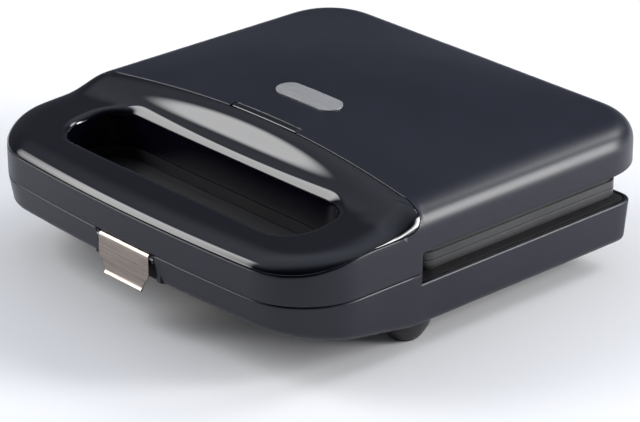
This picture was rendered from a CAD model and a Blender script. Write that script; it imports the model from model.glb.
import bpy
import math
from mathutils import Matrix, Vector


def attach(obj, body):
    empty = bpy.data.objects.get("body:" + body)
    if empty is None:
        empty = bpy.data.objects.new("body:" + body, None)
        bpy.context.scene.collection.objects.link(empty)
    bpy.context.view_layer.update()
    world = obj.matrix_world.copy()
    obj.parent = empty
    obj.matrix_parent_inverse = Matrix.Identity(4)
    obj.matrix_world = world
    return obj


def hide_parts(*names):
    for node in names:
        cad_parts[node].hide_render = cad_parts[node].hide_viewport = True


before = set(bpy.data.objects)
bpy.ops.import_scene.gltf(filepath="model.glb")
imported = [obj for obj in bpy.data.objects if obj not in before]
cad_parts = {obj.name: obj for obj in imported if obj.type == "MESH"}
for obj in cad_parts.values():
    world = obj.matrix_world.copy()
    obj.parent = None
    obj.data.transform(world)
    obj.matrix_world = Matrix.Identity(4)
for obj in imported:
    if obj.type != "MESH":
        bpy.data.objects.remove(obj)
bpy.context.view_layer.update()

# Camera: a long lens from the front right corner, well above the lid, as for a catalogue picture. The
# small shift puts the object in the frame without a turn of the camera.
back_to_camera = Vector((0.6727, -0.6111, 0.4172)).normalized()
camera_data = bpy.data.cameras.new("product_camera")
camera_data.lens = 162.4
camera_data.sensor_width = 36.0
camera_data.shift_y = 0.030
camera_data.clip_start = 0.05
camera_data.clip_end = 30.0
camera = bpy.data.objects.new("product_camera", camera_data)
bpy.context.collection.objects.link(camera)
camera.location = (0.9552, -0.8615, 0.6004)
camera.rotation_euler = back_to_camera.to_track_quat("Z", "Y").to_euler()
bpy.context.scene.camera = camera
bpy.context.scene.view_settings.view_transform = "Standard"

# Floor: a wide pale table top with a matt, slightly cloudy face. It keeps the object's shadow, and to
# the camera its far part runs into the white background that the room shows.
def fresh(name):
    """a new material with its Principled shader, and the short ways to its nodes"""
    material = bpy.data.materials.new(name)
    material.use_nodes = True
    nodes = material.node_tree.nodes
    return material, nodes, material.node_tree.links, nodes["Principled BSDF"]


def deselect():
    if bpy.context.object and bpy.context.object.mode != "OBJECT":
        bpy.ops.object.mode_set(mode="OBJECT")
    bpy.ops.object.select_all(action="DESELECT")


deselect()
bpy.ops.mesh.primitive_circle_add(vertices=96, radius=3.0, fill_type="NGON", location=(0, 0, 0))
table_top = bpy.context.object
table_top.name = "table_top"
table_paint, nodes, links, shader = fresh("table_paint")
shader.inputs["Roughness"].default_value = 0.75
shader.inputs["Specular IOR Level"].default_value = 0.2
cloudy = nodes.new("ShaderNodeTexNoise")
cloudy.inputs["Scale"].default_value = 3.0
cloudy_ramp = nodes.new("ShaderNodeValToRGB")
cloudy_ramp.color_ramp.elements[0].color = (0.90, 0.90, 0.91, 1)
cloudy_ramp.color_ramp.elements[1].color = (0.93, 0.93, 0.94, 1)
where = nodes.new("ShaderNodeTexCoord")
links.new(where.outputs["Object"], cloudy.inputs["Vector"])
links.new(cloudy.outputs["Fac"], cloudy_ramp.inputs["Fac"])
links.new(cloudy_ramp.outputs["Color"], shader.inputs["Base Color"])
# to the camera it runs into white away from the object
from_middle = nodes.new("ShaderNodeVectorMath")
from_middle.operation = "LENGTH"
beyond = nodes.new("ShaderNodeMapRange")
seen = nodes.new("ShaderNodeMath")
seen.operation = "MULTIPLY"
white = nodes.new("ShaderNodeEmission")
ray = nodes.new("ShaderNodeLightPath")
run_out = nodes.new("ShaderNodeMixShader")
beyond.interpolation_type = "SMOOTHSTEP"
beyond.inputs["From Min"].default_value = 0.22
beyond.inputs["From Max"].default_value = 0.55
links.new(where.outputs["Object"], from_middle.inputs[0])
links.new(from_middle.outputs["Value"], beyond.inputs["Value"])
links.new(beyond.outputs["Result"], seen.inputs[0])
links.new(ray.outputs["Is Camera Ray"], seen.inputs[1])
links.new(seen.outputs[0], run_out.inputs["Fac"])
links.new(shader.outputs[0], run_out.inputs[1])
links.new(white.outputs[0], run_out.inputs[2])
links.new(run_out.outputs[0], nodes["Material Output"].inputs["Surface"])
table_top.data.materials.append(table_paint)

# Room: a cool white studio that glows overhead and is dark on the camera's side, so that the gloss
# stays black there. The camera itself sees a plain white backdrop in its place.
studio = bpy.data.worlds.new("studio")
bpy.context.scene.world = studio
studio.use_nodes = True
nodes, links = studio.node_tree.nodes, studio.node_tree.links
room = nodes["Background"]
room.inputs["Color"].default_value = (0.80, 0.86, 1, 1)
heading = nodes.new("ShaderNodeTexCoord")
facing = nodes.new("ShaderNodeVectorMath")
facing.operation = "DOT_PRODUCT"
facing.inputs[1].default_value = (0.72, -0.66, 0.2)
upward = nodes.new("ShaderNodeSeparateXYZ")
darkening, glowing = nodes.new("ShaderNodeMapRange"), nodes.new("ShaderNodeMapRange")
both = nodes.new("ShaderNodeMath")
both.operation = "MULTIPLY"
links.new(heading.outputs["Generated"], facing.inputs[0])
links.new(heading.outputs["Generated"], upward.inputs[0])
for fall, value, lowest, highest, start, end in (
        (darkening, facing.outputs["Value"], -0.1, 0.7, 1.0, 0.08),
        (glowing, upward.outputs["Z"], 0.5, 0.85, 0.17, 0.9)):
    fall.interpolation_type = "SMOOTHSTEP"
    for socket, number in (("From Min", lowest), ("From Max", highest), ("To Min", start), ("To Max", end)):
        fall.inputs[socket].default_value = number
    links.new(value, fall.inputs["Value"])
links.new(darkening.outputs["Result"], both.inputs[0])
links.new(glowing.outputs["Result"], both.inputs[1])
links.new(both.outputs[0], room.inputs["Strength"])
backdrop = nodes.new("ShaderNodeBackground")
backdrop.inputs["Color"].default_value = (1, 1, 1, 1)
backdrop.inputs["Strength"].default_value = 1.0
ray = nodes.new("ShaderNodeLightPath")
choose = nodes.new("ShaderNodeMixShader")
links.new(ray.outputs["Is Camera Ray"], choose.inputs["Fac"])
links.new(room.outputs["Background"], choose.inputs[1])
links.new(backdrop.outputs["Background"], choose.inputs[2])
links.new(choose.outputs["Shader"], nodes["World Output"].inputs["Surface"])


# Lamps: soft boxes, brightest in the middle of their cloth. One behind throws the shadow forwards. A tall
# one on the left shows as the long highlights on the handle, and one low on the right as the highlight
# along the lid's shoulder. All of them point a little above the table.
aim = Vector((0, 0, 0.05))


def faded(nodes, links, place, edge):
    """1 in the middle of the cloth, falling to 0 over this share of it at both edges"""
    from_edge = nodes.new("ShaderNodeMath")
    from_edge.operation = "PINGPONG"
    from_edge.inputs[1].default_value = 0.5
    links.new(place, from_edge.inputs[0])
    fall = nodes.new("ShaderNodeMapRange")
    fall.interpolation_type = "SMOOTHSTEP"
    fall.inputs["From Max"].default_value = edge
    links.new(from_edge.outputs[0], fall.inputs["Value"])
    return fall.outputs["Result"]


def soft_box(name, place, width, height, watts, tall=(0, 0, 1), edges=(0.3, 0.3)):
    data = bpy.data.lights.new(name, "AREA")
    data.shape = "RECTANGLE"
    data.size = width
    data.size_y = height
    data.energy = watts
    data.use_nodes = True
    nodes, links = data.node_tree.nodes, data.node_tree.links
    cloth, split = nodes.new("ShaderNodeNewGeometry"), nodes.new("ShaderNodeSeparateXYZ")
    links.new(cloth.outputs["Parametric"], split.inputs[0])
    product = nodes.new("ShaderNodeMath")
    product.operation = "MULTIPLY"
    for index, edge in enumerate(edges):
        links.new(faded(nodes, links, split.outputs[index], edge), product.inputs[index])
    links.new(product.outputs[0], nodes["Emission"].inputs["Strength"])
    lamp = bpy.data.objects.new(name, data)
    bpy.context.collection.objects.link(lamp)
    lamp.location = place
    away = (Vector(place) - aim).normalized()
    side = Vector(tall).cross(away).normalized()
    lamp.rotation_euler = Matrix((side, away.cross(side), away)).transposed().to_euler()


soft_box("box_key", (0.34, 1.25, 1.05), 0.8, 0.8, 16.0)
soft_box("box_left", (-1.15, -0.93, 0.84), 1.1, 1.65, 44.0, (0, 0.72, 0.66), (0.4, 0.1))
soft_box("box_right", (1.34, 1.14, 0.60), 0.7, 1.25, 66.0, (-0.47, 0, 0.88), (0.3, 0.2))


# Lid: the upper housing, one injection-moulded shell in satin blue-black plastic. Its crowned top ends
# at the bowed seam behind the handle, its wall runs on under the handle panel to the parting line, and
# behind the handle the wall stops higher, where the plates show.
mm = 0.001
half_width, front_y, back_y = 117.5, -110.1, 122.5
bow, front_corner, back_corner = 6.0, 33.5, 34.0
top_z, crown_rise, crown_y, crown_half, crown_reach = 81.6, 9.5, 26.2, half_width - 7, 90
shoulder_width, shoulder_z, panel_z, shoulder_run = 12.0, 61.2, 54.8, 41
parting_z, lid_skirt_z, lid_wall, step_y = 40.15, 50.2, 2.5, -38.1
seam_y, seam_bow, seam_half, seam_radius, seam_gap = -30.2, 7.0, half_width - 7.5, 9.0, 0.6
opening_half, upright = 23.85, 0.02


def smooth(t):
    """from 0 to 1, level at both ends"""
    t = min(1.0, max(0.0, t))
    return t * t * (3 - 2 * t)


def ease(t):
    """from 0 to 1 along a quarter circle, steep at first"""
    return math.sqrt(max(0.0, 1 - (1 - min(1.0, max(0.0, t))) ** 2))


def shoulder(y):
    """height at which the wall turns into the shoulder, lower under the panel's front"""
    return panel_z + (shoulder_z - panel_z) * smooth((y - front_y) / shoulder_run)


def crown(x, y):
    """height of the lid's top, highest a little behind the middle"""
    u, v = min(1.0, abs(x) / crown_half), min(1.0, abs(y - crown_y) / crown_reach)
    return top_z - crown_rise * (1 - (1 - u * u) * (1 - v * v))


def seam_at(x):
    """the seam's place, which bows towards the front at both sides"""
    return seam_y - seam_bow * (x / seam_half) ** 2


def bowed(x, y):
    """a place on the front edge, moved out onto its bow"""
    return (x, y - bow * (1 - (x / half_width) ** 2)) if y <= front_y + front_corner else (x, y)


def inset(x, y):
    """how far a place lies inside the plan outline"""
    radius = front_corner if y < 0 else back_corner
    flat_y = y + bow * (1 - (x / half_width) ** 2) if y < front_y + front_corner else y
    qx = abs(x) - half_width + radius
    qy = max(front_y - flat_y, flat_y - back_y) + radius
    return radius - math.hypot(max(qx, 0), max(qy, 0)) - min(max(qx, qy), 0)


def arc(cx, cy, radius, start, end, steps):
    return [(cx + radius * math.cos(math.radians(start + (end - start) * i / steps)),
             cy + radius * math.sin(math.radians(start + (end - start) * i / steps)))
            for i in range(steps + 1)]


def straight(a, b, steps):
    return [(a[0] + (b[0] - a[0]) * i / steps, a[1] + (b[1] - a[1]) * i / steps) for i in range(steps)]


def laid_grid(name, rows):
    """a flat grid, one vertex for each place in rows, laid over the form that they describe"""
    deselect()
    across, along = len(rows[0]), len(rows)
    bpy.ops.mesh.primitive_grid_add(x_subdivisions=across - 1, y_subdivisions=along - 1, size=1)
    grid = bpy.context.object
    grid.name = name
    grid.data.name = name
    for vertex, place in zip(grid.data.vertices, [p for row in rows for p in row]):
        vertex.co = Vector(place) * mm
    return grid


def only(*pieces):
    """these pieces are selected and nothing else, and the first is the active one"""
    deselect()
    for piece in pieces:
        piece.select_set(True)
    bpy.context.view_layer.objects.active = pieces[0]


def joined(name, *parts):
    only(*parts)
    bpy.ops.object.join()
    parts[0].name = name
    parts[0].data.name = name
    return parts[0]


def welded(piece, distance=0.00001, recalculate=True):
    only(piece)
    bpy.ops.object.mode_set(mode="EDIT")
    bpy.ops.mesh.select_all(action="SELECT")
    bpy.ops.mesh.remove_doubles(threshold=distance)
    bpy.ops.mesh.dissolve_degenerate(threshold=distance)
    if recalculate:
        bpy.ops.mesh.normals_make_consistent(inside=False)
    bpy.ops.object.mode_set(mode="OBJECT")
    return piece


def applied(piece, kind, **settings):
    only(piece)
    modifier = piece.modifiers.new(kind.lower(), kind)
    for key, value in settings.items():
        setattr(modifier, key, value)
    bpy.ops.object.modifier_apply(modifier=modifier.name)
    return piece


def mirrored(piece):
    """the left half added to the right one, and both merged along the middle"""
    applied(piece, "MIRROR", use_axis=(True, False, False), merge_threshold=0.00002)
    return welded(piece, 0.000015)


def shelled(piece, thickness):
    """the surface gets its wall, on the inside"""
    return applied(piece, "SOLIDIFY", thickness=thickness * mm, offset=-1, use_quality_normals=True)


def smoothed(piece, degrees=40):
    only(piece)
    bpy.ops.object.shade_smooth_by_angle(angle=math.radians(degrees))
    return piece


def placed(piece, body, slot, material, *nodes):
    """the piece's origin at the object's, its finish, its body, and the nodes that it stands for"""
    only(piece)
    bpy.ops.object.transform_apply(location=True, rotation=True, scale=True)
    piece.data.materials.clear()
    piece.data.materials.append(material)
    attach(piece, body)
    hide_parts(*nodes)


seam_side_y = seam_at(half_width - 5.5)
turn_y = seam_side_y - seam_radius


def side_height(y):
    """the seam's height on the side wall, where it turns up from the panel's lower edge"""
    t = min(1.0, max(0.0, (y - turn_y) / seam_radius))
    return shoulder_z + seam_radius * (1 - math.sqrt(max(0.0, 1 - t * t)))


def depth_for(y, z):
    """how far inside the outline the shoulder reaches height z"""
    rise = (z - shoulder(y)) / (crown(half_width - shoulder_width, y) - shoulder(y))
    return shoulder_width * (1 - math.sqrt(max(0.0, 1 - min(1.0, rise) ** 2)))


def lid_surface(x, y):
    return shoulder(y) + (crown(x, y) - shoulder(y)) * ease(inset(x, y) / shoulder_width)


turn_ys = [turn_y + seam_radius * math.sin(math.radians(a)) for a in (15, 30, 42, 54, 66, 78)]
corner_depth = depth_for(seam_side_y, shoulder_z + seam_radius)
straight_steps, corner_steps = 16, 20
front_edge = [bowed(*p) for p in straight((0, front_y), (half_width - front_corner, front_y), straight_steps)
              + arc(half_width - front_corner, front_y + front_corner, front_corner, -90, 0, corner_steps)]
side_edge = [(half_width, y) for y in (-72, -66, -60, -54)]
back_edge = [(half_width, y) for y in (-30, -20, -8, 6, 20, 34, 48, 60, 72, 80)] \
    + arc(half_width - back_corner, back_y - back_corner, back_corner, 0, 90, corner_steps) \
    + [(x, back_y) for x in (76, 66, 54, 42, 30, 18, 8, 0)]

# the wall, from the parting line up to the panel's edge or the shoulder
turn_column_ys = [turn_y] + [y for y in turn_ys if y < step_y - 0.5] + [step_y, step_y + upright, seam_side_y]
wall_columns = front_edge + side_edge + [(half_width, y) for y in turn_column_ys] + back_edge
wall_columns = sorted(set(wall_columns), key=wall_columns.index)


def wall_top(y):
    return shoulder(y) - (seam_gap / 2 if y < turn_y - 0.01 else 0)


def wall_bottom(y):
    return parting_z if y <= step_y else lid_skirt_z


wall = laid_grid("lid_wall", [[(x, y, wall_bottom(y) + (wall_top(y) - wall_bottom(y)) * t)
                               for x, y in wall_columns] for t in (0, 0.08, 0.35, 0.7, 1)])

# the small field under the seam's upward turn
turn_shares = (0.0, 0.03, 0.12, 0.3, 0.6, 1.0)
turn_rows = []
for share in turn_shares:
    xs = [half_width - max(0.0, depth_for(y, side_height(y))) * share for y in turn_column_ys]
    turn_rows.append([(x, y, lid_surface(x, y)) for x, y in zip(xs, turn_column_ys)])
turn_field = laid_grid("lid_turn", turn_rows)

# the crown, in strips that run from the seam and the wall to the highest point
seam_xs = [0, 6, 12, 18, opening_half, 30, 37, 44, 52, 60, 68, 76, 84, 91, 97, 102, 106, 109.5]
top_columns = [(x, seam_at(x), 0.0) for x in seam_xs] \
    + [(half_width - corner_depth * share, seam_side_y, 0.25) for share in reversed(turn_shares[1:])] \
    + [(half_width, seam_side_y, 1.0)] + [(x, y, 1.0) for x, y in back_edge]
band = 16  # width of the finer rows along the edge
near_wall = [band * (1 - math.cos(math.radians(a))) for a in (0, 10, 20, 29, 38, 47, 56, 65, 74, 82, 90)]
near_seam = [0, 1.3, 2.4, 3.6, 5, 6.4, 8, 9.8, 11.8, 13.9, band]


def crown_strip(x, y, on_wall):
    heading = Vector((-x, crown_y - y)).normalized()
    strip = []
    for a, b in zip(near_wall, near_seam):
        far = a * on_wall + b * (1 - on_wall)
        strip.append((x + heading.x * far, y + heading.y * far))
    px, py = strip[-1]
    strip += [(px * (1 - t), py + (crown_y - py) * t)
              for t in (0.06, 0.13, 0.21, 0.3, 0.4, 0.5, 0.61, 0.73, 0.86, 1.0)]
    return [(sx, sy, lid_surface(sx, sy)) for sx, sy in strip]


strips = [crown_strip(*column) for column in top_columns]
lid_top = laid_grid("lid_top", [list(row) for row in zip(*strips)])

lid = mirrored(joined("lid_shell", wall, turn_field, lid_top))
applied(lid, "SUBSURF", levels=1, render_levels=1, boundary_smooth="PRESERVE_CORNERS")
shelled(lid, lid_wall)


def block(name, low, high):
    """a block between its lowest and its highest corner"""
    deselect()
    size = [b - a for a, b in zip(low, high)]
    middle = [(a + b) / 2 for a, b in zip(low, high)]
    bpy.ops.mesh.primitive_cube_add(size=1, location=[m * mm for m in middle])
    bpy.ops.transform.resize(value=[s * mm for s in size])
    bpy.ops.object.transform_apply(location=True, rotation=True, scale=True)
    bpy.context.object.name = name
    return bpy.context.object


def carved(piece, *cutters, union=False):
    """the piece less its cutters, or with them added"""
    for cutter in cutters:
        applied(piece, "BOOLEAN", object=cutter, operation="UNION" if union else "DIFFERENCE", solver="EXACT")
        mesh = cutter.data
        bpy.data.objects.remove(cutter)
        bpy.data.meshes.remove(mesh)
    return piece


# the opening for the indicator window at the seam, and the two lugs that hold the clip's pin
carved(lid, block("window_opening", (-opening_half, seam_y - 3, top_z - 12),
                  (opening_half, seam_y + 3.75, top_z + 8)))
lug_x, lug_half = 19.75, 1.15
carved(lid, *[block("pin_lug", (x - lug_half, -115.75, 35.3), (x + lug_half, -112.55, 42.5))
              for x in (-lug_x, lug_x)], union=True)


def edges_rounded(piece, width, segments, too_tight):
    """rounds the sharp edges, but not where the mesh is too tight for the width"""
    only(piece)
    bpy.ops.object.mode_set(mode="EDIT")
    bpy.ops.mesh.select_mode(type="EDGE")
    bpy.ops.mesh.select_all(action="DESELECT")
    bpy.ops.mesh.edges_select_sharp(sharpness=math.radians(50))
    bpy.ops.object.mode_set(mode="OBJECT")
    mesh = piece.data
    weights = mesh.attributes.new("bevel_weight_edge", "FLOAT", "EDGE")
    for edge in mesh.edges:
        middle = sum((mesh.vertices[i].co for i in edge.vertices), Vector()) / 2 / mm
        weights.data[edge.index].value = float(edge.select and not too_tight(abs(middle.x), middle.y, middle.z))
    applied(piece, "BEVEL", width=width, segments=segments, limit_method="WEIGHT", use_clamp_overlap=False)
    mesh.attributes.remove(mesh.attributes["bevel_weight_edge"])


def near_step(x, y, z):
    return x > 110 and abs(y - step_y) < 2.5


def near_seam_corner(x, y):
    return x > 103 and y > -52


def tight_on_lid(x, y, z):
    """at the step, where the seam turns up at the side, and at the ends of the window's opening"""
    return near_step(x, y, z) or near_seam_corner(x, y) and y < -33 and z > 50 \
        or abs(x - opening_half) < 1.5 and z > 70


edges_rounded(lid, 0.0006, 3, tight_on_lid)
smoothed(lid)


# the plastic: a fine spark-eroded texture that scatters the light, with slight changes of sheen
def pattern_group(name, first_input):
    """a shader node group with named inputs and outputs, and the short ways to its nodes"""
    group = bpy.data.node_groups.new(name, "ShaderNodeTree")
    sheen_inputs = (("Sheen", "NodeSocketFloat", 0.4), ("Sheen change", "NodeSocketFloat", 0.1))
    for socket, kind, value in (first_input, *sheen_inputs):
        made = group.interface.new_socket(name=socket, in_out="INPUT", socket_type=kind)
        made.default_value = value
    for socket in ("Height", "Roughness", "Shade"):
        group.interface.new_socket(name=socket, in_out="OUTPUT", socket_type="NodeSocketFloat")
    nodes = group.nodes
    return group, nodes, group.links, nodes.new("NodeGroupInput"), nodes.new("NodeGroupOutput")


def sheen_wanders(nodes, links, come, go, pattern):
    """the roughness goes up and down with a pattern, which also parts the two shades"""
    centred = nodes.new("ShaderNodeMath")
    centred.operation = "SUBTRACT"
    centred.inputs[1].default_value = 0.5
    links.new(pattern, centred.inputs[0])
    spread = nodes.new("ShaderNodeMath")
    spread.operation = "MULTIPLY_ADD"
    links.new(centred.outputs[0], spread.inputs[0])
    links.new(come.outputs["Sheen change"], spread.inputs[1])
    links.new(come.outputs["Sheen"], spread.inputs[2])
    links.new(spread.outputs[0], go.inputs["Roughness"])
    links.new(pattern, go.inputs["Shade"])


grain, nodes, links, come, go = pattern_group("moulded_grain", ("Grain per metre", "NodeSocketFloat", 2600.0))
where = nodes.new("ShaderNodeTexCoord")
fine = nodes.new("ShaderNodeTexNoise")
fine.inputs["Detail"].default_value = 3.0
links.new(where.outputs["Object"], fine.inputs["Vector"])
links.new(come.outputs["Grain per metre"], fine.inputs["Scale"])
links.new(fine.outputs["Fac"], go.inputs["Height"])
patch = nodes.new("ShaderNodeTexNoise")
patch.inputs["Scale"].default_value = 34.0
patch.inputs["Detail"].default_value = 4.0
links.new(where.outputs["Object"], patch.inputs["Vector"])
sheen_wanders(nodes, links, come, go, patch.outputs["Fac"])


def patterned(group, name, dark, light, pattern_values, depth, fixed):
    """a material from one of the groups: two close shades, its sheen, and its relief of this depth"""
    material, nodes, links, shader = fresh(name)
    texture = nodes.new("ShaderNodeGroup")
    texture.node_tree = group
    for socket, value in pattern_values.items():
        texture.inputs[socket].default_value = value
    shades = nodes.new("ShaderNodeValToRGB")
    for stop, position, colour in zip(shades.color_ramp.elements, (0.3, 0.7), (dark, light)):
        stop.position = position
        stop.color = (*colour, 1)
    links.new(texture.outputs["Shade"], shades.inputs["Fac"])
    links.new(shades.outputs["Color"], shader.inputs["Base Color"])
    links.new(texture.outputs["Roughness"], shader.inputs["Roughness"])
    bump = nodes.new("ShaderNodeBump")
    bump.inputs["Strength"].default_value = 1.0
    bump.inputs["Distance"].default_value = depth
    links.new(texture.outputs["Height"], bump.inputs["Height"])
    links.new(bump.outputs["Normal"], shader.inputs["Normal"])
    for socket, value in fixed.items():
        shader.inputs[socket.replace("_", " ")].default_value = value
    return material


def moulded(name, dark, light, sheen, change, per_metre, depth, **fixed):
    """moulded plastic or rubber, and other surfaces with a fine grain"""
    values = {"Grain per metre": per_metre, "Sheen": sheen, "Sheen change": change}
    return patterned(grain, name, dark, light, values, depth, fixed)


housing_satin = moulded("housing_satin", (0.0048, 0.0053, 0.0130), (0.0070, 0.0076, 0.0175),
                        0.36, 0.05, 2600, 0.000012, Specular_IOR_Level=0.4)
placed(lid, "lid", "housing_plastic", housing_satin, "upper_housing")


# Handle panel: a separate glossy shell over the front of the lid. It follows the lid's edge, rises to
# the bowed seam, and dips round the finger slot, which its own sleeve lines down to the frame.
slot_front, slot_back, slot_half_width, slot_corner, rim_round = -90.1, -51.1, 85.0, 17.0, 3.8
rail_z, rail_slope, blend_depth, sleeve_end_z, panel_wall = 62.0, 0.1, 20.0, 46.45, 1.8


def rail(x, y):
    """height of the handle rail, which runs up into the crown along the seam"""
    low = rail_z + (y - slot_front) * rail_slope
    return low + (crown(x, y) - low) * smooth((y - seam_at(x)) / blend_depth + 1)


def panel_surface(x, y):
    return shoulder(y) + (rail(x, y) - shoulder(y)) * ease(inset(x, y) / shoulder_width)


def slot_edge(out):
    """the right half of the slot's outline, this far outside its wall, from front to back"""
    radius, cx = slot_corner + out, slot_half_width - slot_corner
    return straight((0, slot_front - out), (cx, slot_front - out), straight_steps) \
        + arc(cx, slot_front + slot_corner, radius, -90, 0, corner_steps) \
        + arc(cx, slot_back - slot_corner, radius, 0, 90, corner_steps) \
        + [(cx * (1 - i / straight_steps), slot_back + out) for i in range(1, straight_steps + 1)]


# each column: its place on the panel's edge, whether its rows crowd to that edge (1) or lie evenly (0),
# and whether it stands on the lid's wall
panel_columns = [(x, y, 1.0, True) for x, y in front_edge]
panel_columns += [(half_width, y, 1.0, True) for y in (-71, -66, -61, -56, -52)]
for y in [turn_y + seam_radius * math.sin(math.radians(a)) for a in (20, 38, 54, 68, 80)]:
    reach = depth_for(y, side_height(y) + seam_gap * 1.1)
    panel_columns.append((half_width - reach, y - seam_gap * 0.4, 1.0, False))
panel_columns.append((half_width - corner_depth, seam_side_y - seam_gap, 0.6, False))
rear_xs = [109.8, 106.5, 102.5, 98, 93, 87.5, 81.5, 75, 68, 62, 56, 50.5,
           45, 39.5, 34, 28.5, 24, 20, 15, 11, 7.5, 3.7, 0]
panel_columns += [(x, seam_at(x) - seam_gap, 0.0, False) for x in rear_xs]


def along(points, share):
    """a place at a share of the length of a chain of points"""
    lengths = [math.dist(a, b) for a, b in zip(points, points[1:])]
    left = share * sum(lengths)
    for (a, b), length in zip(zip(points, points[1:]), lengths):
        if left <= length:
            return (a[0] + (b[0] - a[0]) * left / length, a[1] + (b[1] - a[1]) * left / length)
        left -= length
    return points[-1]


def slot_place(index, out):
    """where a column of the panel ends: its own place round the slot, this far outside its wall"""
    outline = slot_edge(out)
    front_end = len(front_edge) - 1
    if index <= front_end:
        return outline[index]
    return along(outline[front_end:], (index - front_end) / (len(panel_columns) - 1 - front_end))


panel_band, band_limit, even_share, inner_rows = 14, 0.6, 0.55, 9
near_edge = [panel_band * (1 - math.cos(math.radians(a))) for a in (0, 9, 18, 27, 36, 45, 54, 63, 72, 81, 90)]
panel_strips = []
for i, (x, y, on_edge, on_wall) in enumerate(panel_columns):
    ex, ey = slot_place(i, rim_round)
    length = math.hypot(ex - x, ey - y)
    shares = []
    for k, far in enumerate(near_edge):
        even = length * even_share * k / (len(near_edge) - 1)
        shares.append((min(far, length * band_limit) * on_edge + even * (1 - on_edge)) / length)
    shares += [shares[-1] + (1 - shares[-1]) * k / inner_rows for k in range(1, inner_rows + 1)]
    strip = [(x + (ex - x) * t, y + (ey - y) * t) for t in shares]
    points = [(sx, sy, panel_surface(sx, sy)) for sx, sy in strip]
    if on_wall:
        points[0] = (points[0][0], points[0][1], points[0][2] + seam_gap / 2)
    for turn in [math.radians(b) for b in (18, 36, 54, 72, 90)]:
        sx, sy = slot_place(i, rim_round * (1 - math.sin(turn)))
        points.append((sx, sy, rail(sx, sy) - rim_round * (1 - math.cos(turn))))
    sx, sy, low = points[-1]
    points += [(sx, sy, low + (sleeve_end_z - low) * t) for t in (0.3, 0.65, 1.0)]
    panel_strips.append(points)
panel = mirrored(laid_grid("handle_panel_shell", [list(row) for row in zip(*panel_strips)]))
applied(panel, "SUBSURF", levels=1, render_levels=1, boundary_smooth="PRESERVE_CORNERS")
shelled(panel, panel_wall)
edges_rounded(panel, 0.0004, 3, lambda x, y, z: near_seam_corner(x, y))
smoothed(panel)
panel_gloss = moulded("panel_gloss", (0.0016, 0.0017, 0.0045), (0.0022, 0.0023, 0.0058), 0.045, 0.03, 60, 0.0)
placed(panel, "lid", "panel_plastic", panel_gloss, "handle_panel")

# Base: the lower housing, one moulded tray in the same satin plastic. Its floor rises in a chin under
# the handle, its rim is lower behind the step, and two forked brackets on its back carry the hinge pins.
base_top, rim_z, floor_under, nose_y, base_back = 39.85, 34.2, 12.0, -116.1, 106.2
chin_y, chin_rise, edge_round, draft, base_back_corner = step_y - 2.4, 13.4, 4.0, 2.0, 9.0
notch_half, notch_back = 21.3, nose_y + 4.9
hinge_x, hinge_y, hinge_z, knuckle = 74.0, 110.2, 41.0, 6.0
feet_at = [(-99.0, -31.4), (99.0, -31.4), (-82.5, 86.2), (82.5, 86.2)]
inlet_z, bedded = 21.6, 1.2
post_radius, pin_hole, screw_hole, head_hole, foot_hole, inlet_hole = 4.0, 2.52, 1.7, 3.5, 1.4, 4.82
vent_pitch, vent_width, vent_length, vent_row = 9, 3, 24, 26


def chin(y):
    """height of the floor's underside, which rises under the handle"""
    return floor_under + chin_rise / (chin_y - nose_y) * max(0.0, chin_y - y)


def inward(chain):
    """unit vectors that point to the inside of the right half of an outline, front to back"""
    mirrored_ends = [(-chain[1][0], chain[1][1])] + list(chain) + [(-chain[-2][0], chain[-2][1])]
    turned = []
    for before, after in zip(mirrored_ends, mirrored_ends[2:]):
        along_it = Vector((after[0] - before[0], after[1] - before[1])).normalized()
        turned.append(Vector((-along_it.y, along_it.x)))
    return turned


base_side_ys = (-70, -62, -54, -46, chin_y, step_y, step_y + upright, -30, -10, 12, 34, 56, 78, 94)
base_edge = front_edge + [(half_width, y) for y in base_side_ys] \
    + arc(half_width - base_back_corner, base_back - base_back_corner, base_back_corner, 0, 90, 8)[1:] \
    + [(x, base_back) for x in (100, 92, 82, 66, 54, 40, 24, 10, 0)]
base_inward = inward(base_edge)
base_rows = []
# the rows from the floor's edge round to the wall, each so far in and so far above the floor
for turn in [math.radians(a) for a in (0, 15, 30, 45, 60, 75, 90)]:
    inside, above = draft + edge_round * (1 - math.sin(turn)), edge_round * (1 - math.cos(turn))
    base_rows.append([(x + n.x * inside, y + n.y * inside, chin(y) + above)
                      for (x, y), n in zip(base_edge, base_inward)])
for share in (0.12, 0.5, 0.88, 1.0):
    row = []
    for (x, y), n in zip(base_edge, base_inward):
        low = chin(y) + edge_round
        high = base_top if y <= step_y else rim_z
        inside = draft * (base_top - low - (high - low) * share) / (base_top - low)
        row.append((x + n.x * inside, y + n.y * inside, low + (high - low) * share))
    base_rows.append(row)
for row in base_rows:
    row[0] = (0.0, *row[0][1:])
    row[-1] = (0.0, *row[-1][1:])
base_shell = mirrored(laid_grid("base_shell", base_rows))


def picked(piece, mode, chosen):
    """edit mode with only the chosen vertices or edges selected"""
    only(piece)
    bpy.ops.object.mode_set(mode="EDIT")
    bpy.ops.mesh.select_mode(type=mode)
    bpy.ops.mesh.select_all(action="DESELECT")
    bpy.ops.object.mode_set(mode="OBJECT")
    for part in piece.data.vertices if mode == "VERT" else piece.data.edges:
        part.select = bool(chosen(part))
    bpy.ops.object.mode_set(mode="EDIT")


# the floor: a slanted field under the handle and a level one behind it
for is_here in (lambda y: y < (chin_y + 0.05) * mm, lambda y: y > (chin_y - 0.05) * mm):
    picked(base_shell, "VERT", lambda v: is_here(v.co.y) and abs(v.co.z - chin(v.co.y / mm) * mm) < 0.00002)
    bpy.ops.mesh.edge_face_add()
    bpy.ops.object.mode_set(mode="OBJECT")
welded(base_shell, 0.000005)
shelled(base_shell, lid_wall)
edges_rounded(base_shell, 0.0009, 4, near_step)


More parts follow.
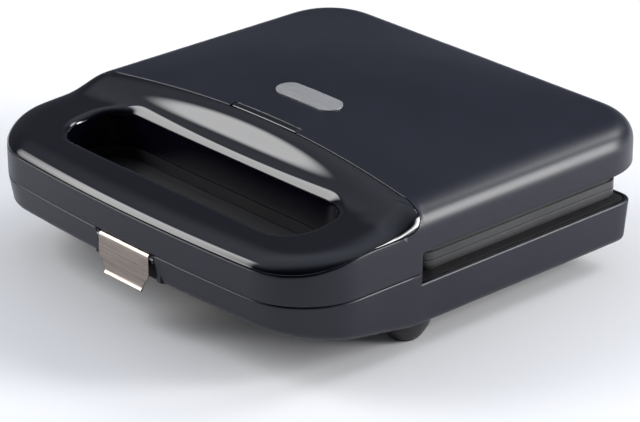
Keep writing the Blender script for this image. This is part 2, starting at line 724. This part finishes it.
def rod(name, start, axis, radius, length, sides=48):
    """a closed cylinder that starts at a place and runs along an axis"""
    deselect()
    middle = Vector(start) + Vector(axis) * length / 2
    turn = Vector(axis).to_track_quat("Z", "Y").to_euler()
    bpy.ops.mesh.primitive_cylinder_add(vertices=sides, radius=radius * mm, depth=length * mm,
                                        location=middle * mm, rotation=turn)
    bpy.ops.object.transform_apply(location=True, rotation=True, scale=True)
    bpy.context.object.name = name
    return bpy.context.object


def rounded_outline(middle_x, middle_y, width, depth, radius, steps=8):
    """a rectangle with rounded corners, or with round ends where the radius is half its width"""
    dx, dy = width / 2 - radius, depth / 2 - radius
    return arc(middle_x + dx, middle_y + dy, radius, 0, 90, steps) \
        + arc(middle_x - dx, middle_y + dy, radius, 90, 180, steps) \
        + arc(middle_x - dx, middle_y - dy, radius, 180, 270, steps) \
        + arc(middle_x + dx, middle_y - dy, radius, 270, 360, steps)


def prism(name, outline, low, high, across_x=False):
    """a straight prism: its outline in X and Y between two heights, or in Y and Z between two places on X"""
    deselect()
    bpy.ops.mesh.primitive_circle_add(vertices=len(outline), radius=1, fill_type="NGON")
    piece = bpy.context.object
    piece.name = name
    for vertex, (a, b) in zip(piece.data.vertices, outline):
        vertex.co = Vector((low, a, b) if across_x else (a, b, low)) * mm
    bpy.ops.object.mode_set(mode="EDIT")
    bpy.ops.mesh.select_all(action="SELECT")
    step = (high - low) * mm
    bpy.ops.mesh.extrude_region_move(TRANSFORM_OT_translate={"value": (step, 0, 0) if across_x else (0, 0, step)})
    bpy.ops.object.mode_set(mode="OBJECT")
    return welded(piece)


def bevelled(piece, width, segments, degrees=50):
    """rounds every edge that is sharper than this angle"""
    return applied(piece, "BEVEL", width=width, segments=segments,
                   limit_method="ANGLE", angle_limit=math.radians(degrees))


bracket_outline = [(base_back - 3.2, rim_z - 14), (base_back + 1, rim_z - 14)] \
    + [(hinge_y + knuckle * math.cos(math.radians(a)), hinge_z + knuckle * math.sin(math.radians(a)))
       for a in range(-20, 181, 10)] \
    + [(base_back - 1.2, hinge_z - 4), (base_back - 2.4, rim_z - 2), (base_back - 2.4, rim_z - 10)]
fork, fork_half = 8.8, 2.5
brackets = [prism("bracket", bracket_outline, x - fork_half, x + fork_half, across_x=True)
            for side in (-1, 1) for x in (side * hinge_x - fork, side * hinge_x + fork)]
for bracket in brackets:
    bevelled(bracket, 0.0004, 2)
pocket_front, pocket_back = nose_y + 2, notch_back + lid_wall
clip_pocket = prism("clip_pocket", [(pocket_front, chin(pocket_front) + bedded), (pocket_back, chin(pocket_back)),
                                    (pocket_back, base_top), (pocket_front, base_top)],
                    -notch_half - lid_wall, notch_half + lid_wall, across_x=True)
case_screws = [(sx * half_width * 0.51, nose_y + 21) for sx in (-1, 1)] \
    + [(sx * (half_width - 8.7), base_back - 8.6) for sx in (-1, 1)]
posts = [rod("post", (x, y, chin(y) + bedded), (0, 0, 1), post_radius,
             (base_top if y < 0 else rim_z) - 2.8 - chin(y) - bedded) for x, y in case_screws]
inlet_pad = block("inlet_pad", (-7.5, base_back - 4.5, floor_under + 1.5), (7.5, base_back, inlet_z + 7.5))
carved(base_shell, clip_pocket, inlet_pad, *brackets, *posts, union=True)
plate_middle = 35.7
vent_outlines = [rounded_outline(i * vent_pitch, plate_middle + row, vent_width, vent_length, vent_width / 2, 4)
                 for i in range(-5, 6) for row in (-vent_row, vent_row)]
vents = joined("vents", *[prism("vent", outline, floor_under - 1, floor_under + 3.5) for outline in vent_outlines])
under = 5  # the drills for the screws start at this height, below the floor
carved(base_shell,
       block("notch", (-notch_half, nose_y - 5, floor_under), (notch_half, notch_back, base_top + 2)),
       vents,
       rod("inlet_hole", (0, base_back - 8, inlet_z), (0, 1, 0), inlet_hole, 12, 8),
       *[rod("pin_hole", (x - 20, hinge_y, hinge_z), (1, 0, 0), pin_hole, 40, 32) for x in (-hinge_x, hinge_x)],
       *[rod("screw_hole", (x, y, under), (0, 0, 1), screw_hole, 50, 24) for x, y in case_screws],
       *[rod("head_hole", (x, y, under), (0, 0, 1), head_hole, chin(y) + 3.4 - under, 32) for x, y in case_screws],
       *[rod("foot_hole", (x, y, under), (0, 0, 1), foot_hole, 12, 24) for x, y in feet_at])
catch = prism("catch", [(notch_back + 0.05, 30.6), (notch_back - 1.8, 30.6),
                        (notch_back - 1.8, 31.6), (notch_back + 0.05, 33.6)], -12, 12, across_x=True)
carved(base_shell, catch, union=True)
smoothed(base_shell)
placed(base_shell, "base", "housing_plastic", housing_satin, "lower_housing")


# Feet: four moulded bowls of black plastic, each screwed to the base from below and closed by a round
# rubber pad that is pressed into its underside.
feet_black = moulded("feet_black", (0.008, 0.008, 0.012), (0.012, 0.012, 0.016), 0.45, 0.08, 2200, 0.00002)
pad_rubber = moulded("pad_rubber", (0.010, 0.010, 0.010), (0.015, 0.015, 0.015), 0.75, 0.1, 1500, 0.00004)


def dressed(material, *names):
    """gives its finish to a piece whose shape stays as it is"""
    for name in names:
        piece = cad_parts[name]
        piece.data.materials.clear()
        piece.data.materials.append(material)


dressed(feet_black, "feet")
dressed(pad_rubber, "foot_pads")

# Frames: the surrounds that close both halves and carry the plates, and the floor of the handle, all
# moulded in black heat-resistant plastic with a coarser, duller grain than the housings.
frame_black = moulded("frame_black", (0.012, 0.012, 0.014), (0.017, 0.017, 0.019), 0.52, 0.08, 1800, 0.00003)
dressed(frame_black, "lower_frame", "upper_frame", "handle_floor")

# Cooking plates: two aluminium castings with a dark non-stick coat. Each has a rim that shows in the gap
# behind the handle, a skirt below it, and four triangular pockets that part the bread on the diagonals.
plate_width, plate_length, plate_corner, plate_rim, plate_skirt_inset = 220.0, 131.0, 7.0, 3.6, 1.6
plate_front, casting, land, ridge, pocket_depth, pocket_corner = -29.8, 2.6, 8.0, 4.0, 9.0, 14.0


def soft_triangle(corners, inside):
    """a triangle with rounded corners on fixed centres, moved this far inwards"""
    outline = []
    for before, at, after in zip(corners[-1:] + corners[:-1], corners, corners[1:] + corners[:1]):
        p, q, s = Vector(before), Vector(at), Vector(after)
        a, b = (p - q).normalized(), (s - q).normalized()
        middle = (a + b).normalized()
        centre = q + middle * pocket_corner / math.sqrt(1 - a.dot(middle) ** 2)
        into, out = (q - p).normalized(), (s - q).normalized()
        start = math.degrees(math.atan2(-into.x, into.y))
        end = math.degrees(math.atan2(-out.x, out.y))
        outline += arc(centre.x, centre.y, pocket_corner - inside, start, end if end > start else end + 360, 7)
    return outline


def pocket_solid(corners, thicker, level, upwards):
    """the closed form of a pocket, from the land to its bottom"""
    profile = [(0, -1.0), (0.0, 0.0), (0.6, 0.25), (1.2, 0.9), (3.6, 3.8),
               (5.9, 6.4), (6.25, 7.3), (6.9, 8.2), (7.9, 8.8), (9.5, pocket_depth)]
    rows = []
    for inside, deep in profile:
        if thicker and deep < 0:
            continue
        drop = deep + (thicker if deep > 0 else 0)
        rows.append([(x, y, level + upwards * drop) for x, y in soft_triangle(corners, inside - thicker)])
    form = laid_grid("pocket", [row + row[:1] for row in rows])
    welded(form, 0.000004)
    picked(form, "EDGE", lambda e: False)
    bpy.ops.mesh.select_non_manifold()
    bpy.ops.mesh.edge_face_add()
    bpy.ops.mesh.select_all(action="SELECT")
    bpy.ops.mesh.fill_holes(sides=0)
    bpy.ops.mesh.normals_make_consistent(inside=False)
    bpy.ops.object.mode_set(mode="OBJECT")
    return form


cell_x0, cell_x1 = 4.0, plate_width / 2 - land
cell_y0, cell_y1 = plate_front + land, plate_front + plate_length - land
slant = math.hypot(cell_x1 - cell_x0, cell_y1 - cell_y0)
shift_x, shift_y = ridge * slant / (cell_y1 - cell_y0), ridge * slant / (cell_x1 - cell_x0)
triangles = [[(cell_x0, cell_y0), (cell_x1 - shift_x, cell_y0), (cell_x0, cell_y1 - shift_y)],
             [(cell_x1, cell_y1), (cell_x0 + shift_x, cell_y1), (cell_x1, cell_y0 + shift_y)]]
triangles += [[(-x, y) for x, y in reversed(corners)] for corners in triangles]
boss_inset, corner_boss, middle_boss, thread_hole = 8.6, 3.5, 4.0, 1.4
corner_bosses = [(side * (plate_width / 2 - boss_inset), y) for side in (-1, 1)
                 for y in (plate_front + boss_inset, plate_front + plate_length - boss_inset)]
middle_bosses = [(0, plate_middle - 28), (0, plate_middle + 28)]
middle_boss_end = pocket_depth + casting + 6.8


def cast_plate(name, level, upwards, skirt):
    """one plate: its land lies at the parting line and everything else is on the far side of it"""
    def span(near, far):
        return sorted((level + upwards * near, level + upwards * far))

    def slab(label, inset_by, near, far):
        width, length, radius = plate_width - 2 * inset_by, plate_length - 2 * inset_by, plate_corner - inset_by
        return prism(label, rounded_outline(0, plate_middle, width, length, radius), *span(near, far))

    def ring(label, inset_by, near, far):
        outer = slab(label, inset_by, near, far)
        return carved(outer, slab("hole", plate_skirt_inset + casting, near - 1, far + 1))

    def upright_rods(label, places, radius, near, far, sides=48):
        low = min(span(near, far))
        return [rod(label, (x, y, low), (0, 0, 1), radius, far - near, sides) for x, y in places]

    plate = slab(name, 0, 0, casting)
    carved(plate, ring("rim", 0.0, 1.0, plate_rim), ring("skirt", plate_skirt_inset, 2.0, skirt),
           *[pocket_solid(corners, casting, level, upwards) for corners in triangles],
           *upright_rods("boss", corner_bosses, corner_boss, 1, skirt),
           *upright_rods("boss", middle_bosses, middle_boss, 1, middle_boss_end), union=True)
    carved(plate, *[pocket_solid(corners, 0, level, upwards) for corners in triangles])
    carved(plate, *upright_rods("hole", corner_bosses, thread_hole, 2, skirt + 2, 24),
           *upright_rods("hole", middle_bosses, thread_hole, 4, 24, 24))
    bevelled(plate, 0.0004, 2, 48)
    return smoothed(plate, 36)


lower_plate = cast_plate("lower_cooking_plate", base_top, -1, 5.35)
upper_plate = cast_plate("upper_cooking_plate", parting_z, 1, 9.75)
plate_coat = moulded("plate_coat", (0.030, 0.030, 0.032), (0.048, 0.048, 0.050), 0.33, 0.10, 3200, 0.00003)
placed(lower_plate, "base", "plate_cast", plate_coat, "lower_plate")
placed(upper_plate, "lid", "plate_cast", plate_coat, "upper_plate")

# Indicator window: a smoked strip of clear plastic, let into the lid behind the seam and ground to the
# crown's curve. Two small lamps shine through it from a white holder underneath.
window_half, window_front, window_depth, window_sunk = 23.7, seam_y + 0.1, 3.5, 0.05
window_xs = (-window_half, -21, -17, -12, -6, 0, 6, 12, 17, 21, window_half)
window = laid_grid("indicator_strip", [[(x, y, lid_surface(abs(x), y) - window_sunk) for x in window_xs]
                                       for y in [window_front + window_depth * t for t in (0, 0.33, 0.66, 1)]])
applied(window, "SOLIDIFY", thickness=0.004, offset=-1)
bevelled(window, 0.0007, 3)
smoothed(window)
smoked = moulded("smoked_strip", (0.004, 0.004, 0.006), (0.007, 0.007, 0.009), 0.10, 0.06, 80, 0.0)
placed(window, "lid", "window_plastic", smoked, "indicator_window")
lamp_white = moulded("lamp_moulding", (0.62, 0.62, 0.58), (0.72, 0.72, 0.68), 0.5, 0.1, 1500, 0.00002)
lamp_red = moulded("lamp_red", (0.45, 0.015, 0.01), (0.55, 0.03, 0.02), 0.2, 0.06, 300, 0.0)
lamp_green = moulded("lamp_green", (0.02, 0.32, 0.05), (0.03, 0.42, 0.08), 0.2, 0.06, 300, 0.0)
dressed(lamp_white, "lamp_holder")
dressed(lamp_red, "power_lamp")
dressed(lamp_green, "ready_lamp")

# Badge: a bare pill of satin aluminium, stamped from brushed sheet. It is pressed to the crown's curve
# and glued into a shallow seat in the lid.
badge_y, badge_half, badge_end, badge_proud = -0.8, 21.0, 6.5, 0.45
badge_flat = badge_half - badge_end
badge_xs = [0.0, 5.0, 10.0] + [badge_flat + badge_end * math.sin(math.radians(a))
                               for a in (0, 12, 24, 36, 48, 59, 69, 78, 85, 90)]
badge_xs = [-x for x in reversed(badge_xs[1:])] + badge_xs
badge_rows = []
for t in (-1, -0.92, -0.8, -0.5, 0, 0.5, 0.8, 0.92, 1):
    row = []
    for x in badge_xs:
        past = max(0.0, abs(x) - badge_flat)
        y = badge_y + t * math.sqrt(max(0.0, badge_end ** 2 - past ** 2))
        row.append((x, y, lid_surface(abs(x), y) + badge_proud))
    badge_rows.append(row)
badge = laid_grid("bare_badge", badge_rows)
welded(badge, 0.000004, recalculate=False)
applied(badge, "SOLIDIFY", thickness=0.0013, offset=-1)
bevelled(badge, 0.0004, 3)
smoothed(badge)

# brushed metal: fine lines along one direction, as a belt leaves them, that spread the light across it
brushing, nodes, links, come, go = pattern_group(
    "belt_brushing", ("Lines per metre", "NodeSocketVector", (40, 2400, 2400)))
where = nodes.new("ShaderNodeTexCoord")
stretched = nodes.new("ShaderNodeMapping")
lines = nodes.new("ShaderNodeTexNoise")
lines.inputs["Scale"].default_value = 1.0
lines.inputs["Detail"].default_value = 3.0
links.new(where.outputs["Object"], stretched.inputs["Vector"])
links.new(come.outputs["Lines per metre"], stretched.inputs["Scale"])
links.new(stretched.outputs["Vector"], lines.inputs["Vector"])
links.new(lines.outputs["Fac"], go.inputs["Height"])
sheen_wanders(nodes, links, come, go, lines.outputs["Fac"])


def brushed(name, dark, light, sheen, change, per_metre, depth, metallic=1.0):
    """bare metal with belt-brushed lines in two close shades"""
    values = {"Lines per metre": per_metre, "Sheen": sheen, "Sheen change": change}
    return patterned(brushing, name, dark, light, values, depth, {"Metallic": metallic})


badge_satin = brushed("badge_satin", (0.42, 0.42, 0.42), (0.52, 0.52, 0.51),
                      0.42, 0.2, (60, 3000, 3000), 0.000006, metallic=0.6)
placed(badge, "lid", "badge_metal", badge_satin, "badge")

# Clip: a bent strip of brushed stainless steel. It curls round its pin at the top, hangs straight over
# the parting line, hooks under the base's catch with a tongue, and ends in a small rolled lip.
clip_y, clip_z, clip_half, clip_thick, curl = -114.6, 37.5, 18.2, 0.9, 2.18
taper, taper_from, taper_over = 4.4, 9.2, 6.2
clip_path = [(curl * math.cos(math.radians(a)), curl * math.sin(math.radians(a))) for a in range(-15, 181, 15)]
clip_path += [(-curl, z) for z in (-2.5, -5.0, -7.5, -9.2, -11.0, -13.0, -15.0)]
clip_path += [(-curl - 0.12, -15.9), (-curl - 0.4, -16.6), (-curl - 0.85, -17.1), (-curl - 1.2, -17.3)]
clip_shares = (1, 0.97, 0.6, 0.2, -0.2, -0.6, -0.97, -1)
clip_rows = []
for y, z in clip_path:
    half_here = clip_half - taper * min(1.0, max(0.0, (-z - taper_from) / taper_over))
    clip_rows.append([(half_here * share, clip_y + y, clip_z + z) for share in clip_shares])
clip = shelled(laid_grid("closing_clip", clip_rows), clip_thick)
clip_inside = clip_y - curl + clip_thick
tongue = block("tongue", (-10, clip_inside - 0.1, clip_z - 8.1), (10, clip_inside + 2.8, clip_z - 7.2))
carved(clip, tongue, union=True)
bevelled(clip, 0.00022, 3)
smoothed(clip)
clip_steel = brushed("clip_steel", (0.25, 0.21, 0.185), (0.37, 0.32, 0.285),
                     0.30, 0.25, (50, 2600, 2600), 0.000006)
placed(clip, "latch", "clip_steel", clip_steel, "clip")

# Pins and screws: ground steel pins in the hinges and the clip, and zinc-plated screws that hold the
# frames, the plates, the panel, the reflectors and the feet.
pin_steel = brushed("pin_steel", (0.42, 0.42, 0.43), (0.55, 0.55, 0.56), 0.28, 0.15, (3200, 60, 60), 0.000004)
screw_plating = moulded("screw_plating", (0.52, 0.52, 0.50), (0.64, 0.64, 0.62),
                        0.28, 0.16, 900, 0.0, Metallic=1.0)
dressed(pin_steel, "hinge_pins", "clip_pin")
dressed(screw_plating, "foot_screws", "case_screws", "lower_plate_screws", "upper_plate_screws",
        "lower_reflector_screws", "upper_reflector_screws", "upper_frame_screws", "panel_screws")

# Heating elements: bent steel tubes, blued and browned by heat, one in each half. A bright sheet is
# screwed behind each of them and throws its heat at the plate.
element_steel = moulded("element_steel", (0.20, 0.14, 0.10), (0.32, 0.30, 0.30),
                        0.38, 0.16, 700, 0.000004, Metallic=1.0)
reflector_sheet = brushed("reflector_sheet", (0.68, 0.68, 0.69), (0.80, 0.80, 0.81),
                          0.24, 0.2, (60, 1800, 1800), 0.000004)
dressed(element_steel, "lower_element", "upper_element")
dressed(reflector_sheet, "lower_reflector", "upper_reflector")

# Wiring: the terminal block, the insulated leads, the thermostat and its fuse, and the rubber bush that
# lines the cord's way in through the back wall.
block_ivory = moulded("block_ivory", (0.66, 0.62, 0.50), (0.76, 0.72, 0.62), 0.45, 0.1, 1500, 0.00002)
lead_sleeve = moulded("lead_sleeve", (0.10, 0.04, 0.025), (0.15, 0.07, 0.04), 0.5, 0.1, 2600, 0.00004)
ceramic = moulded("ceramic", (0.55, 0.51, 0.42), (0.68, 0.64, 0.54), 0.6, 0.12, 1200, 0.00004)
bush_rubber = moulded("bush_rubber", (0.011, 0.011, 0.011), (0.016, 0.016, 0.016), 0.65, 0.1, 1500, 0.00003)
dressed(block_ivory, "terminal_block")
dressed(lead_sleeve, "lower_leads", "upper_leads")
dressed(ceramic, "thermostat", "thermal_fuse")
dressed(bush_rubber, "cord_inlet")
